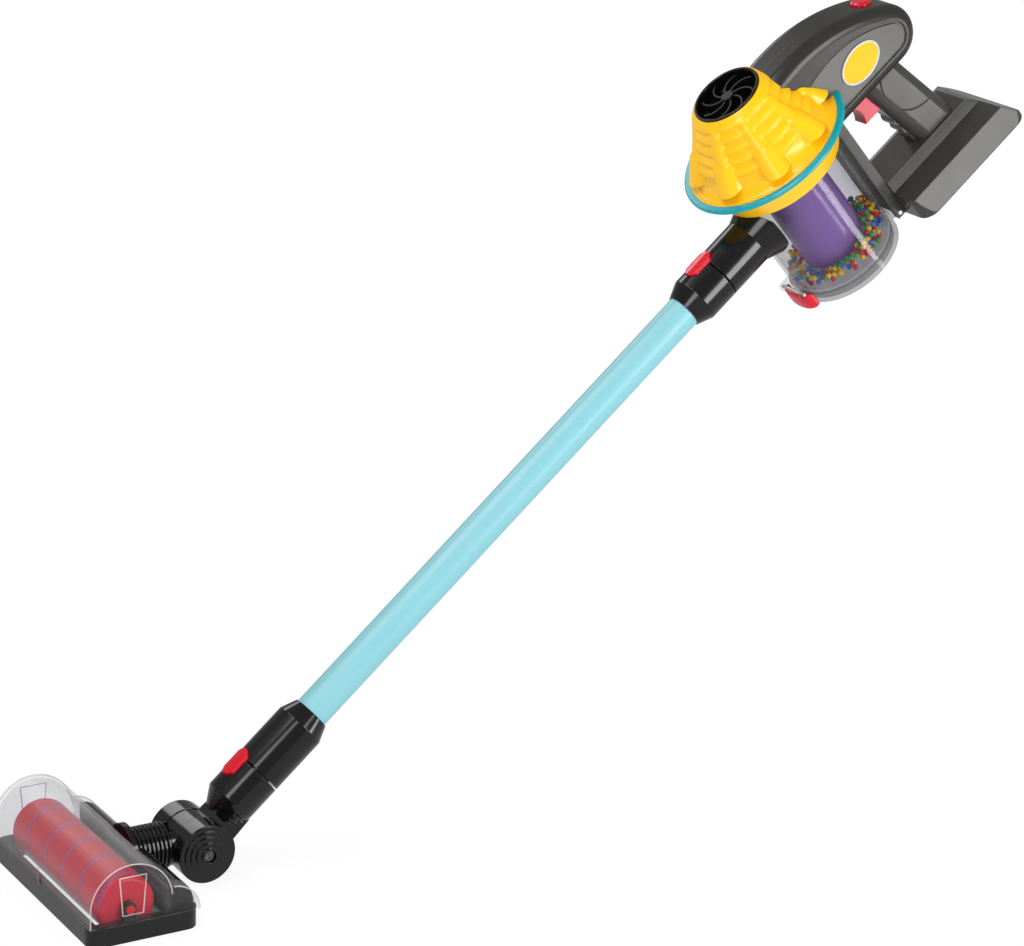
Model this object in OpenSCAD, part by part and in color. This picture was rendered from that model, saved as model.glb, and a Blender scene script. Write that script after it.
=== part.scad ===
// Toy stick vacuum cleaner, standing in use: floor head flat on the floor, wand leaning back to the hand unit.
// +X runs to the rear, +Y to the toy's right, +Z up. The origin is the middle of the head's sole.

/* [Stance] */
// Angle of the wand above the floor
wand_tilt = 41; // [34:1:52]

/* [Wand] */
// Outer radius of the wand tube
tube_r = 12; // [11.5:0.25:13]
// Wall of the wand tube
tube_wall = 1.2; // [1:0.1:1.5]
// Length of bare tube between the two collars
tube_visible = 370; // [250:5:420]
// Outer radius of the black collars, the socket and the inlet pipe
collar_r = 17.5; // [17:0.25:19]
// Length of the collar at the lower end of the tube
low_collar_len = 52; // [44:1:60]
// Length of the collar at the upper end of the tube
top_collar_len = 32.5; // [28:0.5:44]
// Length of the taper from a collar down to the tube
collar_taper = 11; // [6:0.5:14]
// Open seam between two parts that plug together
seam_gap = 1.2; // [0.8:0.1:2]
// Length of the spigots that plug in
spigot_len = 19; // [14:0.5:19.5]
// Radial clearance of a spigot in its bore
spigot_play = 0.05; // [0.03:0.01:0.1]
// Wall of a spigot
spigot_wall = 1.8; // [1.4:0.1:2.4]

/* [Release buttons] */
// Length of a release button along the wand
button_len = 21; // [18:0.5:22]
// Width of a release button
button_w = 12; // [10:0.5:14]
// How far a release button stands out of its collar
button_proud = 1.6; // [1:0.1:2.4]
// How far a release button travels
button_travel = 1.2; // [0.8:0.1:1.4]
// Clearance around a moving button
button_play = 0.4; // [0.3:0.05:0.6]

/* [Pivot barrel] */
// Radius of the pivot barrel
barrel_r = 20; // [18:0.5:20.5]
// Width of the pivot barrel without its caps
barrel_w = 46; // [40:1:54]
// Width of the tongue between the barrel's two drums
tongue_w = 16; // [12:0.5:20]
// Radius of the pivot pin
pivot_pin_r = 4; // [3:0.25:5]
// How far each cap stands out
cap_h = 5; // [3.5:0.25:7]
// Number of steps on each cap
cap_steps = 4; // [3:1:5]
// Distance from the pivot axis to the start of the socket
socket_start = 35.5; // [34:0.5:40]
// Length of the socket's barrel
socket_len = 25.5; // [24:0.5:28]

/* [Floor head] */
// Width of the floor head
head_w = 156; // [130:1:180]
// Depth of the floor head
head_d = 76; // [74:0.5:84]
// Height of the black base
head_base_h = 13; // [11:0.5:15]
// Corner radius of the base
head_corner_r = 9; // [5:0.5:11]
// Wall of the clear cover
cover_wall = 2; // [1.6:0.1:2.4]
// Share of the head's depth under the arch of the clear cover
arch_share = 0.75; // [0.72:0.01:0.78]
// Height of the top of the arch
arch_top = 53; // [52:0.5:60]
// Width of the black deck behind the arch
deck_w = 134; // [110:1:140]
// Room between the roller and the outside of the arch
roller_room = 8.5; // [8:0.25:11]
// Gap between the roller and the floor
roller_lift = 0.5; // [0.3:0.1:1]
// How far the roller's axis lies behind the middle of the arch
roller_back = 0.5; // [0:0.25:1]
// Radius of the roller's axle pins
axle_r = 2.2; // [2:0.1:3]
// Distance from the head's rear edge to the pivot axis
neck_reach = 31; // [30:0.5:40]
// Radius of the neck's ribs
neck_r = 15.5; // [14:0.25:16]
// Depth of the grooves between the ribs
neck_groove = 1.6; // [0.8:0.1:2]
// Number of ribs on the neck
neck_ribs = 9; // [6:1:10]

/* [Dust bin] */
// Outer radius of the clear bin
bin_r = 40; // [38:0.25:41]
// Wall of the clear bin
bin_wall = 2; // [1.6:0.1:2.4]
// Height of the bin's top above the underside of its lid
bin_top = 100; // [96:0.5:104]
// Height of the lid's ring
lid_h = 8; // [7:0.25:9]
// How far the lid's ring stands out past the bin
lid_proud = 1.5; // [1:0.1:1.8]
// Height of the inlet pipe's axis above the underside of the lid
inlet_z = 70; // [66:0.5:72]
// Distance from the bin's axis to the seam of the inlet
inlet_reach = 82; // [76:0.5:92]
// Radius of the purple core
core_r = 24; // [18:0.5:24]
// Radius of a bead
bead_r = 1.9; // [1.5:0.1:1.95]

/* [Cyclone head] */
// Radius of the brim
brim_r = 62; // [58:0.5:66]
// Height of the brim's ring
brim_h = 5; // [4:0.25:6]
// Height of the collar between bin and brim
collar_h = 12; // [10:0.5:14]
// Height of the cone above the collar
cone_h = 52; // [48:0.5:56]
// Height of the flared skirt at the foot of the cone
skirt_h = 17; // [12:0.5:20]
// Number of cyclones
cyclone_count = 8; // [6:1:9]
// Radius of a cyclone at its foot
cyclone_r = 11; // [9:0.25:11.5]
// Radius of the fan cup's rim
cup_r = 24.6; // [22:0.2:26]
// Depth of the fan cup
cup_depth = 10; // [8:0.25:12]
// Number of fan blades
blade_count = 8; // [6:1:10]

/* [Body] */
// Width of the body
body_w = 42; // [38:0.5:46]
// Radius of the body's rounded long edges
body_round = 9; // [6:0.5:12]
// Height of the body's underside above the underside of the lid
body_under = 90; // [88:0.5:92]
// Rear end of the body, from the bin's axis
body_rear = 133.5; // [130:0.5:138]
// Radius of the body's round rear end
nose_r = 21.5; // [19:0.5:23]
// Radius of the body's hump
crown_r = 138; // [120:1:160]
// Width of the grip
grip_w = 28; // [26:0.5:34]
// Depth of the grip, front to back
grip_d = 33; // [32:0.5:38]
// Lean of the grip
grip_lean = 13; // [10:0.5:16]
// Number of finger ridges on the grip
finger_ridges = 3; // [2:1:4]
// Travel of the trigger
trigger_travel = 5; // [3:0.25:6]
// Travel of the power button
power_travel = 2; // [1.2:0.1:2.4]

/* [Battery base] */
// Length of the battery base
base_len = 104; // [98:1:108]
// Width of the battery base at its underside
base_w = 82; // [74:1:88]
// Height of the battery base
base_h = 21; // [20:0.5:24]
// How far the sides of the base lean in
base_slope = 5; // [3:0.5:8]
// Height of the rail between the base and the grip
rail_h = 9; // [6:0.5:12]
// Width of the rail
rail_w = 34; // [30:0.5:40]
// Number of cells
cell_count = 3; // [2:1:3]

/* [Hidden] */
$fn = 64;
// Fixed clearances and details
slip = 0.3;
pin_play = 0.05;
cut = 0.01;
far = 400;

// Standard AA cell
cell_r = 7.25;
cell_len = 50.5;
cell_pitch = 15.5;

// Places along the wand, measured from the pivot axis
low_seam = socket_start + socket_len;
low_collar_at = low_seam + seam_gap;
tube_low = low_collar_at + low_collar_len;
tube_top = tube_low + tube_visible;
top_seam = tube_top + top_collar_len;
inlet_at = top_seam + seam_gap;
unit_reach = inlet_at + inlet_reach;
tube_seat = 6;
bore_r = tube_r - tube_wall;
spigot_r = bore_r - spigot_play;
button_over = 0.3 * button_len;
pocket_floor = collar_r - 3.6;

// Places on the floor head
head_front = -head_d / 2;
head_rear = head_d / 2;
arch_d = head_d * arch_share;
arch_r = arch_d / 2;
arch_x = head_front + arch_r;
roller_r = arch_r - roller_room;
roller_x = arch_x + roller_back;
roller_z = roller_r + roller_lift;
arch_z = arch_top - arch_r;
arch_rear = head_front + arch_d;
deck_r = head_rear - arch_rear;
bracket_in = head_w / 2 - 7.5;
bracket_t = 3;
bracket_r = axle_r + 2.4;
roller_half = bracket_in - 1.5;
axle_grip = 7;
barrel_x = head_rear + neck_reach;
barrel_z = 21;
neck_z = 23;
neck_front = arch_rear + 3;
neck_rear = barrel_x - barrel_r - 0.5;
hood_len = 1;
web_rise = 5;
head_screw_in = 20;
head_screw_front = 5;
head_screw_rear = 9;
hood_r = neck_r + 4;

// Places on the hand unit, from the middle of the lid's underside
bin_floor_z = lid_h + 2;
bin_floor_t = 2;
lid_r = bin_r + lid_proud;
collar_z = bin_top;
brim_z = collar_z + collar_h;
rim_z = brim_z + cone_h;
cup_z = rim_z - cup_depth;
cone_foot_r = brim_r - 5;
motor_r = 10;
motor_h = 25;
motor_z = cup_z - motor_h - 4;
shaft_r = 1;
body_front = cup_r + 1.6;
body_step = bin_r + 6.8;
hump_front = [body_front, rim_z - 8];
nose_at = [body_rear - nose_r, body_under + nose_r];
crown_at = meet(hump_front, crown_r, nose_at, crown_r - nose_r);
spine_x = lid_r + 0.6;
spine_t = 7.6;
spine_w = 30;
base_x = spine_x + spine_t;
base_z = -1;
base_top = base_z + base_h;
grip_foot = base_top + rail_h;
grip_x = base_x + 43;
lid_pin_r = 1.5;
lid_hinge = [spine_x + 3.9, 3.2];
latch_pivot = [-(bin_r + 4.6), 14];
latch_w = 20;
latch_pad_w = 30;
latch_pin_r = 1.2;
grip_panel_r = 26;
trigger_h = 18;
trigger_z = body_under - 3 - trigger_h / 2;
trigger_w = 13;
trigger_len = 20;
trigger_tip = grip_x - grip_d / 2 - 11;
power_x = 115;
power_r = 7;
power_h = 8;
power_lean = asin((power_x - crown_at[0]) / crown_r);
power_seat = crown_r - power_h - power_travel - 10.4;
door_len = 62;
door_w = 56;
door_inset = 18;
door_x = base_x + door_inset;
contact_half = 22;
screw_in = 5;
screw_back = 22;
screw_down = 22;
board_x = 66;
board_len = 44;
panel_nose = nose_r - 10.2;
panel_arc = 89;
panel_lean = 54;
panel_front = body_front + 8;
badge_l = 35;
badge_w = 24;
badge_turn = 5;
badge_x = nose_at[0] - 29.5;
badge_z = nose_at[1] + 5.5;
end_run = 14;

yellow = [1, 0.78, 0.05];
teal = [0, 0.62, 0.68];
purple = [0.45, 0.31, 0.59];
cyan = [0.56, 0.84, 0.86];
black = [0.07, 0.07, 0.08];
charcoal = [0.28, 0.28, 0.27];
red = [0.88, 0.05, 0.16];
pink = [0.94, 0.39, 0.45];
crimson = [0.78, 0.18, 0.27];
clear = [0.85, 0.88, 0.9, 0.5];
steel = [0.75, 0.75, 0.77];

// Placing and shared shapes

module in_wand() {
  translate([barrel_x, 0, barrel_z]) rotate([0, -wand_tilt, 0]) children();
}

module in_unit() {
  in_wand() translate([unit_reach, 0, -inlet_z]) children();
}

// A shape turned about the wand's axis, from [radius, place along the wand] points
module turned(points) {
  rotate([0, 90, 0]) rotate_extrude() polygon(points);
}

// A cylinder along X
module rod_x(x0, x1, r) {
  translate([x0, 0, 0]) rotate([0, 90, 0]) cylinder(r = r, h = x1 - x0);
}

// A cylinder along Y at [x, z]
module rod_y(at, y0, y1, r) {
  translate([at[0], y0, at[1]]) rotate([-90, 0, 0]) cylinder(r = r, h = y1 - y0);
}

// A flat shape in the XZ plane, thickened along Y
module plate_y(y0, y1) {
  translate([0, y1, 0]) rotate([90, 0, 0]) linear_extrude(y1 - y0) children();
}

module block(x0, x1, y0, y1, z0, z1) {
  translate([x0, y0, z0]) cube([x1 - x0, y1 - y0, z1 - z0]);
}

// Rectangle with round corners, centred
module round_rect(w, d, r) {
  square([w - 2 * r, d], center = true);
  square([w, d - 2 * r], center = true);
  for (sx = [-1, 1], sy = [-1, 1]) translate([sx * (w / 2 - r), sy * (d / 2 - r)]) circle(r);
}

// A screw head with a cross recess, its top face at z = 0
module cross_screw(r, h, shank_r, shank) {
  difference() {
    union() {
      translate([0, 0, -h]) cylinder(r = r, h = h);
      translate([0, 0, -h - shank]) cylinder(r = shank_r, h = shank + cut);
    }
    for (a = [0, 90]) rotate(a) block(-r * 0.7, r * 0.7, -r * 0.15, r * 0.15, -h * 0.5, 1);
  }
}

// Wand, collars and socket

// Long octagon of a release button, seen from above; the seam lies at x = 0 and the tool side at x < 0
module button_outline(grow) {
  l = button_len + 2 * grow;
  w = button_w + 2 * grow;
  c = w * 0.3;
  x0 = button_over - button_len - grow;
  polygon([[x0 + c, -w / 2], [x0 + l - c, -w / 2], [x0 + l, -w / 2 + c], [x0 + l, w / 2 - c],
           [x0 + l - c, w / 2], [x0 + c, w / 2], [x0, w / 2 - c], [x0, -w / 2 + c]]);
}

// Room for a release button around the seam at the given place along the wand
module button_pocket(seam) {
  translate([seam, 0, pocket_floor]) linear_extrude(far) button_outline(button_play);
}

module release_button(seam) {
  base = pocket_floor + button_travel + 0.3;
  color(red) in_wand() intersection() {
    translate([seam, 0, base]) linear_extrude(far) button_outline(0);
    rod_x(seam - far, seam + far, collar_r + button_proud);
  }
}

module wand_tube() {
  low = low_collar_at + tube_seat;
  color(cyan) in_wand() turned([[bore_r, low], [tube_r, low], [tube_r, top_seam], [bore_r, top_seam]]);
}

module wand_top_collar() {
  color(black) in_wand() difference() {
    turned([[tube_r, tube_top], [tube_r + 1, tube_top], [collar_r, tube_top + collar_taper],
            [collar_r, top_seam], [tube_r, top_seam]]);
    button_pocket(top_seam);
  }
}

module wand_low_collar() {
  tip = low_collar_at - spigot_len;
  color(black) in_wand() difference() {
    turned([[spigot_r - spigot_wall, tip], [spigot_r, tip], [spigot_r, low_collar_at],
            [collar_r, low_collar_at], [collar_r, tube_low - collar_taper], [tube_r + 1, tube_low],
            [tube_r, tube_low], [tube_r, low_collar_at + tube_seat],
            [spigot_r - spigot_wall, low_collar_at + tube_seat]]);
    button_pocket(low_seam);
  }
}

module wand_button() release_button(top_seam);

module neck_button() release_button(low_seam);

// Tongue in the barrel, web, and the socket that takes the wand
module neck_socket() {
  foot = barrel_r + 3;
  foot_r = collar_r - 8;
  ribs = 4;
  color(black) in_wand() difference() {
    union() {
      rod_y([0, 0], -tongue_w / 2 + slip, tongue_w / 2 - slip, barrel_r - 0.5);
      plate_y(-tongue_w / 2 + slip, tongue_w / 2 - slip)
        polygon([[0, -barrel_r + 1], [socket_start, -collar_r + 1], [socket_start, foot_r - 2], [0, foot_r]]);
      turned([[0, foot], [foot_r, foot], [collar_r, socket_start], [collar_r, low_seam], [0, low_seam]]);
      // Short ribs under the taper
      intersection() {
        for (i = [0 : ribs - 1]) {
          share = (i + 0.4) / ribs;
          at = foot + share * (socket_start - foot);
          rod_x(at, at + 1.3, min(collar_r - 0.5, foot_r + 8 * share + 1.8));
        }
        block(-far, far, -far, far, -far, -2);
      }
    }
    rod_x(low_seam - spigot_len - 0.8, low_seam + 1, bore_r);
    rod_y([0, 0], -barrel_w, barrel_w, pivot_pin_r + pin_play);
    button_pocket(low_seam);
  }
}

// Pivot barrel and neck

module pivot_yoke() {
  color(black) difference() {
    union() {
      rod_y([barrel_x, barrel_z], -barrel_w / 2, barrel_w / 2, barrel_r);
      translate([0, 0, neck_z]) rod_x(neck_rear, barrel_x, neck_r - 1);
    }
    rod_y([barrel_x, barrel_z], -tongue_w / 2, tongue_w / 2, barrel_r + 0.6);
    block(barrel_x - 2, far, -tongue_w / 2, tongue_w / 2, -far, far);
    block(neck_rear - 1, far, -tongue_w / 2, tongue_w / 2, barrel_z + web_rise, far);
    rod_y([barrel_x, barrel_z], -barrel_w, barrel_w, pivot_pin_r + pin_play);
  }
}

module pivot_pin() {
  color(steel) rod_y([barrel_x, barrel_z], -barrel_w / 2, barrel_w / 2, pivot_pin_r);
}

// Stepped dome over each end of the barrel, with a recess for its screw
module pivot_caps() {
  recess_r = 4.2;
  step_r = (barrel_r - recess_r - 2) / cap_steps;
  step_h = cap_h / (cap_steps + 0.5);
  profile = concat([[0, 0], [barrel_r - 0.4, 0]],
    [for (i = [0 : cap_steps]) each
      [[barrel_r - 0.4 - i * step_r, (i + 0.5) * step_h],
       [i < cap_steps ? barrel_r - 0.4 - (i + 1) * step_r : recess_r, (i + 0.5) * step_h]]],
    [[recess_r, step_h], [0, step_h]]);
  color(black) for (side = [-1, 1])
    translate([barrel_x, side * barrel_w / 2, barrel_z]) rotate([-90 * side, 0, 0])
      rotate_extrude() polygon(profile);
}

module pivot_screws() {
  step_h = cap_h / (cap_steps + 0.5);
  head_h = 2;
  color(steel) for (side = [-1, 1])
    translate([barrel_x, side * (barrel_w / 2 + step_h + head_h), barrel_z]) rotate([-90 * side, 0, 0])
      difference() {
        translate([0, 0, -head_h]) cylinder(r = 3.4, h = head_h);
        for (a = [0, 90]) rotate(a) block(-2.4, 2.4, -0.5, 0.5, -1, 1);
      }
}

module ribbed_neck() {
  pitch = (neck_rear - neck_front) / neck_ribs;
  land = pitch * 0.3;
  profile = concat([[0, neck_front]],
    [for (i = [0 : neck_ribs - 1]) each
      [[neck_r - neck_groove, neck_front + i * pitch],
       [neck_r, neck_front + i * pitch + land],
       [neck_r, neck_front + (i + 1) * pitch - land],
       [neck_r - neck_groove, neck_front + (i + 1) * pitch]]],
    [[0, neck_rear]]);
  color(black) translate([0, 0, neck_z]) turned(profile);
}

// Floor head

head_screw_places = [for (x = [head_front + head_screw_front, head_rear - head_screw_rear], side = [-1, 1])
  [x, side * (head_w / 2 - head_screw_in)]];

module head_base() {
  lip = 2.2;
  color(black) difference() {
    union() {
      linear_extrude(head_base_h) round_rect(head_d, head_w, head_corner_r);
      for (side = [-1, 1]) {
        y0 = side > 0 ? bracket_in : -bracket_in - bracket_t;
        block(roller_x - bracket_r, roller_x + bracket_r, y0, y0 + bracket_t, head_base_h - cut, roller_z);
        rod_y([roller_x, roller_z], y0, y0 + bracket_t, bracket_r);
      }
    }
    block(roller_x - roller_r - lip, roller_x + roller_r + lip, -bracket_in, bracket_in, -1, head_base_h + 1);
    rod_y([roller_x, roller_z], -far, far, axle_r + 0.02);
    translate([0, 0, neck_z]) rod_x(neck_front, far, neck_r + slip);
    for (p = head_screw_places)
      translate([p[0], p[1], 0]) {
        translate([0, 0, -1]) cylinder(r = 2.8, h = 3.2);
        cylinder(r = 1.2, h = head_base_h - 2);
      }
  }
}

// Side outline of the clear cover, shrunk by the wall for its inside
module arch_outline(shrink) {
  translate([head_front + shrink, head_base_h - 1]) square([arch_d - 2 * shrink, arch_z - head_base_h + 1]);
  translate([arch_x, arch_z]) circle(arch_r - shrink);
}

// Quarter round behind the arch
module rear_outline(shrink) {
  intersection() {
    translate([arch_rear, head_base_h]) circle(deck_r - shrink);
    translate([arch_rear, head_base_h - 1]) square([deck_r, deck_r + 1]);
  }
}

module head_cover() {
  half = head_w / 2;
  inner = half - cover_wall;
  tab = 7;
  color(clear) difference() {
    union() {
      difference() {
        union() {
          plate_y(-half, half) arch_outline(0);
          for (side = [0, 1]) mirror([0, side, 0]) plate_y(deck_w / 2 + slip, half) rear_outline(0);
        }
        plate_y(-inner, inner) arch_outline(cover_wall);
        for (side = [0, 1]) mirror([0, side, 0])
          plate_y(deck_w / 2 + slip + cover_wall, inner) rear_outline(cover_wall);
      }
      // Raised tabs on the end walls, and a small fin in the middle of the front wall
      for (side = [0, 1]) mirror([0, side, 0]) plate_y(half - cut, half + 1)
        translate([roller_x, head_base_h]) polygon([[-tab, 6], [tab, 6], [tab * 1.3, 32], [-tab * 1.3, 32]]);
      block(head_front - 1.5, head_front + cut, -1.2, 1.2, head_base_h, arch_z);
    }
    block(-far, far, -far, far, -far, head_base_h);
  }
}

module head_deck() {
  color(black) difference() {
    union() {
      plate_y(-deck_w / 2, deck_w / 2) intersection() {
        rear_outline(0);
        translate([arch_rear, head_base_h]) square(far);
      }
      translate([0, 0, neck_z]) rod_x(arch_rear, neck_front + hood_len, hood_r);
    }
    translate([0, 0, neck_z]) rod_x(neck_front, far, neck_r + slip);
    block(-far, far, -far, far, -far, head_base_h);
  }
}

module roller() {
  color(crimson) difference() {
    rod_y([roller_x, roller_z], -roller_half, roller_half, roller_r);
    for (side = [0, 1]) mirror([0, side, 0])
      rod_y([roller_x, roller_z], roller_half - axle_grip - 1, roller_half + 1, axle_r + pin_play);
  }
}

module roller_axles() {
  outer = head_w / 2 - cover_wall - 0.2;
  color(red) for (side = [0, 1]) mirror([0, side, 0]) {
    rod_y([roller_x, roller_z], roller_half - axle_grip, outer, axle_r);
    rod_y([roller_x, roller_z], bracket_in + bracket_t, outer, axle_r + 0.8);
  }
}

module head_screws() {
  color(steel) for (p = head_screw_places)
    translate([p[0], p[1], 0.4]) mirror([0, 0, 1]) cross_screw(2.6, 1.7, 1.15, 8);
}

// Inlet and bin

module inlet_pipe() {
  flare_x = -bin_r - 10;
  foot_x = -bin_r + 6;
  color(black) in_unit() difference() {
    translate([0, 0, inlet_z]) difference() {
      turned([[spigot_r - spigot_wall, -inlet_reach - spigot_len], [spigot_r, -inlet_reach - spigot_len],
              [spigot_r, -inlet_reach], [collar_r, -inlet_reach], [collar_r, flare_x],
              [collar_r + 6, foot_x], [spigot_r - spigot_wall, foot_x]]);
      translate([-unit_reach, 0, 0]) button_pocket(top_seam);
    }
    cylinder(r = bin_r, h = far);
  }
}

module dust_bin() {
  ear_t = 2.6;
  ear_r = 3.2;
  color(clear) in_unit() difference() {
    union() {
      translate([0, 0, lid_h + slip]) cylinder(r = bin_r, h = bin_top - lid_h - slip);
      for (side = [0, 1]) mirror([0, side, 0]) plate_y(latch_w / 2 + slip, latch_w / 2 + slip + ear_t) {
        translate(latch_pivot) circle(ear_r);
        translate([latch_pivot[0], latch_pivot[1] - ear_r]) square([bin_r / 2, 2 * ear_r]);
      }
    }
    cylinder(r = bin_r - bin_wall, h = far);
    translate([0, 0, inlet_z]) rod_x(-far, 0, spigot_r - spigot_wall);
    rod_y(latch_pivot, -far, far, latch_pin_r + 0.02);
  }
}

module bead_floor() {
  color(clear) in_unit() translate([0, 0, bin_floor_z]) cylinder(r = bin_r - bin_wall, h = bin_floor_t);
}

module core_ring() {
  z0 = bin_floor_z + bin_floor_t;
  color([0.8, 0.82, 0.85]) in_unit() translate([0, 0, z0]) difference() {
    cylinder(r = core_r + 1, h = 4);
    translate([0, 0, -1]) cylinder(r = core_r - 4, h = 6);
  }
}

module bin_core() {
  z0 = bin_floor_z + bin_floor_t + 4;
  color(purple) in_unit() difference() {
    translate([0, 0, z0]) cylinder(r = core_r, h = collar_z - z0);
    translate([0, 0, z0 - 1]) cylinder(r = core_r - 2.5, h = far);
  }
}

// One layer of loose beads in three rings, every fourth one of the same colour
module beads(pick, tone) {
  inner = core_r + 1 + bead_r + 0.4;
  outer = bin_r - bin_wall - bead_r - 0.4;
  z = bin_floor_z + bin_floor_t + bead_r + 0.02;
  color(tone) in_unit() for (ring = [0 : 2]) {
    r = inner + (outer - inner) * ring / 2;
    n = floor(2 * PI * r / (2 * bead_r + 0.5));
    for (i = [0 : n - 1]) if ((i + ring) % 4 == pick)
      rotate(360 * i / n) translate([r, 0, z]) sphere(bead_r, $fn = 24);
  }
}

module beads_red() beads(0, red);

module beads_yellow() beads(1, yellow);

module beads_green() beads(2, [0.1, 0.62, 0.3]);

module beads_blue() beads(3, [0.1, 0.35, 0.75]);

module bin_lid() {
  knuckle_r = 3;
  knuckle_half = spine_w / 2 - 5;
  color(clear) in_unit() difference() {
    union() {
      rotate_extrude() polygon([[0, 0], [lid_r - 1, 0], [lid_r, 1], [lid_r, lid_h], [lid_r - 3, lid_h],
                                [lid_r - 3, 2.2], [0, 2.2]]);
      rod_y(lid_hinge, -knuckle_half, knuckle_half, knuckle_r);
      block(lid_r - 2, lid_hinge[0], -knuckle_half, knuckle_half, lid_hinge[1] - knuckle_r,
            lid_hinge[1] + knuckle_r - 1);
    }
    rod_y(lid_hinge, -far, far, lid_pin_r + pin_play);
  }
}

module lid_hinge_pin() {
  color(steel) in_unit() rod_y(lid_hinge, -spine_w / 2, spine_w / 2, lid_pin_r);
}

// Lever with a wide thumb pad, and a hook that reaches under the lid's ring
module bin_latch() {
  back = -lid_r - 0.6;
  face = latch_pivot[0] - 2.8;
  pad_top = latch_pivot[1] - 4.2;
  color(red) in_unit() difference() {
    union() {
      plate_y(-latch_w / 2, latch_w / 2) {
        translate(latch_pivot) circle(2.8);
        polygon([[face, 15], [face + 3, 15], [face + 3, 11], [back, 9], [back, -0.5], [back + 3, -0.5],
                 [back + 1.6, -2.2], [face + 1, -2.2], [face, -1]]);
      }
      // Pad that hugs the lid's ring
      intersection() {
        rotate_extrude() polygon([[-back, -0.5], [2 - face, -0.5], [1 - face + 0.4, 1.5], [1 - face + 0.4, pad_top - 3],
                                  [-1 - face, pad_top], [-back, pad_top]]);
        block(-far, 0, -latch_pad_w / 2, latch_pad_w / 2, -far, far);
      }
    }
    rod_y(latch_pivot, -far, far, latch_pin_r + pin_play);
  }
}

module latch_pin() {
  half = latch_w / 2 + slip + 2.6;
  color(steel) in_unit() rod_y(latch_pivot, -half, half, latch_pin_r);
}

// Cyclone head

module cone_collar() {
  low = 7;
  color(yellow) in_unit() difference() {
    translate([0, 0, collar_z]) rotate_extrude()
      polygon([[core_r - 3, 0], [bin_r + slip, 0], [bin_r + slip, -low], [bin_r + 6, -low],
               [cone_foot_r - 1, collar_h], [core_r - 3, collar_h]]);
    block(body_step - slip, far, -body_w / 2 - slip, body_w / 2 + slip, -far, far);
  }
}

// Room behind the cone for the front of the body
module body_room() {
  block(body_front, far, -body_w / 2 - slip, body_w / 2 + slip, brim_z - 1, far);
}

module brim_ring() {
  color(teal) in_unit() difference() {
    translate([0, 0, brim_z]) rotate_extrude()
      polygon([[cone_foot_r, 0], [brim_r - 1, 0], [brim_r, 1], [brim_r, brim_h - 1], [brim_r - 1, brim_h],
               [cone_foot_r, brim_h]]);
    body_room();
  }
}

// Stepped cone with a ring of cyclones leaning in against it
module cyclone_cone() {
  steps = 5;
  flare = 11;
  flare_h = skirt_h - brim_h + 1;
  wall_foot = cone_foot_r - flare - 1;
  wall_top = cup_r + 1.2;
  rise = (cone_h - skirt_h) / steps;
  run = (wall_foot - wall_top) / steps;
  lean = atan2(wall_foot - wall_top, cone_h - skirt_h);
  bell_h = 19;
  tube_h = 24;
  skirt = [for (a = [90 : -11.25 : 0]) [cone_foot_r - flare * cos(a), skirt_h - flare_h * sin(a)]];
  wall = [for (i = [0 : steps - 1]) each
    [[wall_foot - i * run, skirt_h + i * rise], [wall_foot - (i + 0.6) * run, skirt_h + (i + 1) * rise]]];
  profile = concat([[0, 0], [cone_foot_r, 0]], skirt, wall, [[wall_top - 1, cone_h], [0, cone_h]]);
  color(yellow) in_unit() difference() {
    translate([0, 0, brim_z]) union() {
      rotate_extrude() polygon(profile);
      for (i = [0 : cyclone_count - 1]) rotate(360 * (i + 0.5) / cyclone_count)
        translate([wall_foot + 1.5, 0, skirt_h - 6]) rotate([0, -lean, 0]) {
          cylinder(r1 = cyclone_r, r2 = cyclone_r - 2.5, h = bell_h);
          translate([0, 0, bell_h - cut]) cylinder(r1 = cyclone_r - 4, r2 = cyclone_r - 6, h = tube_h);
        }
    }
    translate([0, 0, cup_z]) cylinder(r = cup_r + 0.2, h = far);
    translate([0, 0, motor_z]) cylinder(r = motor_r + 0.2, h = far);
    body_room();
  }
}

module fan_cup() {
  color(black) in_unit() translate([0, 0, cup_z]) rotate_extrude()
    polygon([[shaft_r + pin_play, 0], [cup_r, 0], [cup_r, cup_depth + 0.8], [cup_r - 1.6, cup_depth + 0.8],
             [cup_r - 3.4, 1.5], [shaft_r + pin_play, 1.5]]);
}

// Hub and curved blades
module fan() {
  hub_r = 4.5;
  blade_r = cup_r - 4.2;
  blade_t = 1.2;
  sweep_r = 12.5;
  z0 = cup_z + 2.3;
  blade_h = cup_depth - 3.6;
  color(black) in_unit() translate([0, 0, z0]) difference() {
    union() {
      cylinder(r = hub_r, h = blade_h + 0.8);
      intersection() {
        cylinder(r = blade_r, h = blade_h);
        for (i = [0 : blade_count - 1]) rotate(360 * i / blade_count) translate([sweep_r, 0, 0])
          intersection() {
            difference() {
              cylinder(r = sweep_r, h = blade_h);
              translate([0, 0, -1]) cylinder(r = sweep_r - blade_t, h = blade_h + 2);
            }
            block(-far, far, 0, far, -1, blade_h + 1);
          }
      }
    }
    translate([0, 0, -1]) cylinder(r = shaft_r, h = blade_h);
  }
}

module fan_shaft() {
  z0 = motor_z + motor_h - 8;
  color(steel) in_unit() translate([0, 0, z0]) cylinder(r = shaft_r, h = cup_z + cup_depth - 2.3 - z0);
}

module motor() {
  color(steel) in_unit() translate([0, 0, motor_z]) difference() {
    union() {
      cylinder(r = motor_r, h = motor_h);
      cylinder(r = 3, h = motor_h + 3.8);
    }
    translate([0, 0, motor_h - 9]) cylinder(r = shaft_r + pin_play, h = far);
  }
}

// Body, grip and base

// The lower one of the two points at the given distances from a and b
function meet(a, from_a, b, from_b) =
  let (d = norm(b - a), e = (b - a) / d, t = (from_a * from_a - from_b * from_b + d * d) / (2 * d))
  a + t * e + sqrt(from_a * from_a - t * t) * [e[1], -e[0]];

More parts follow.
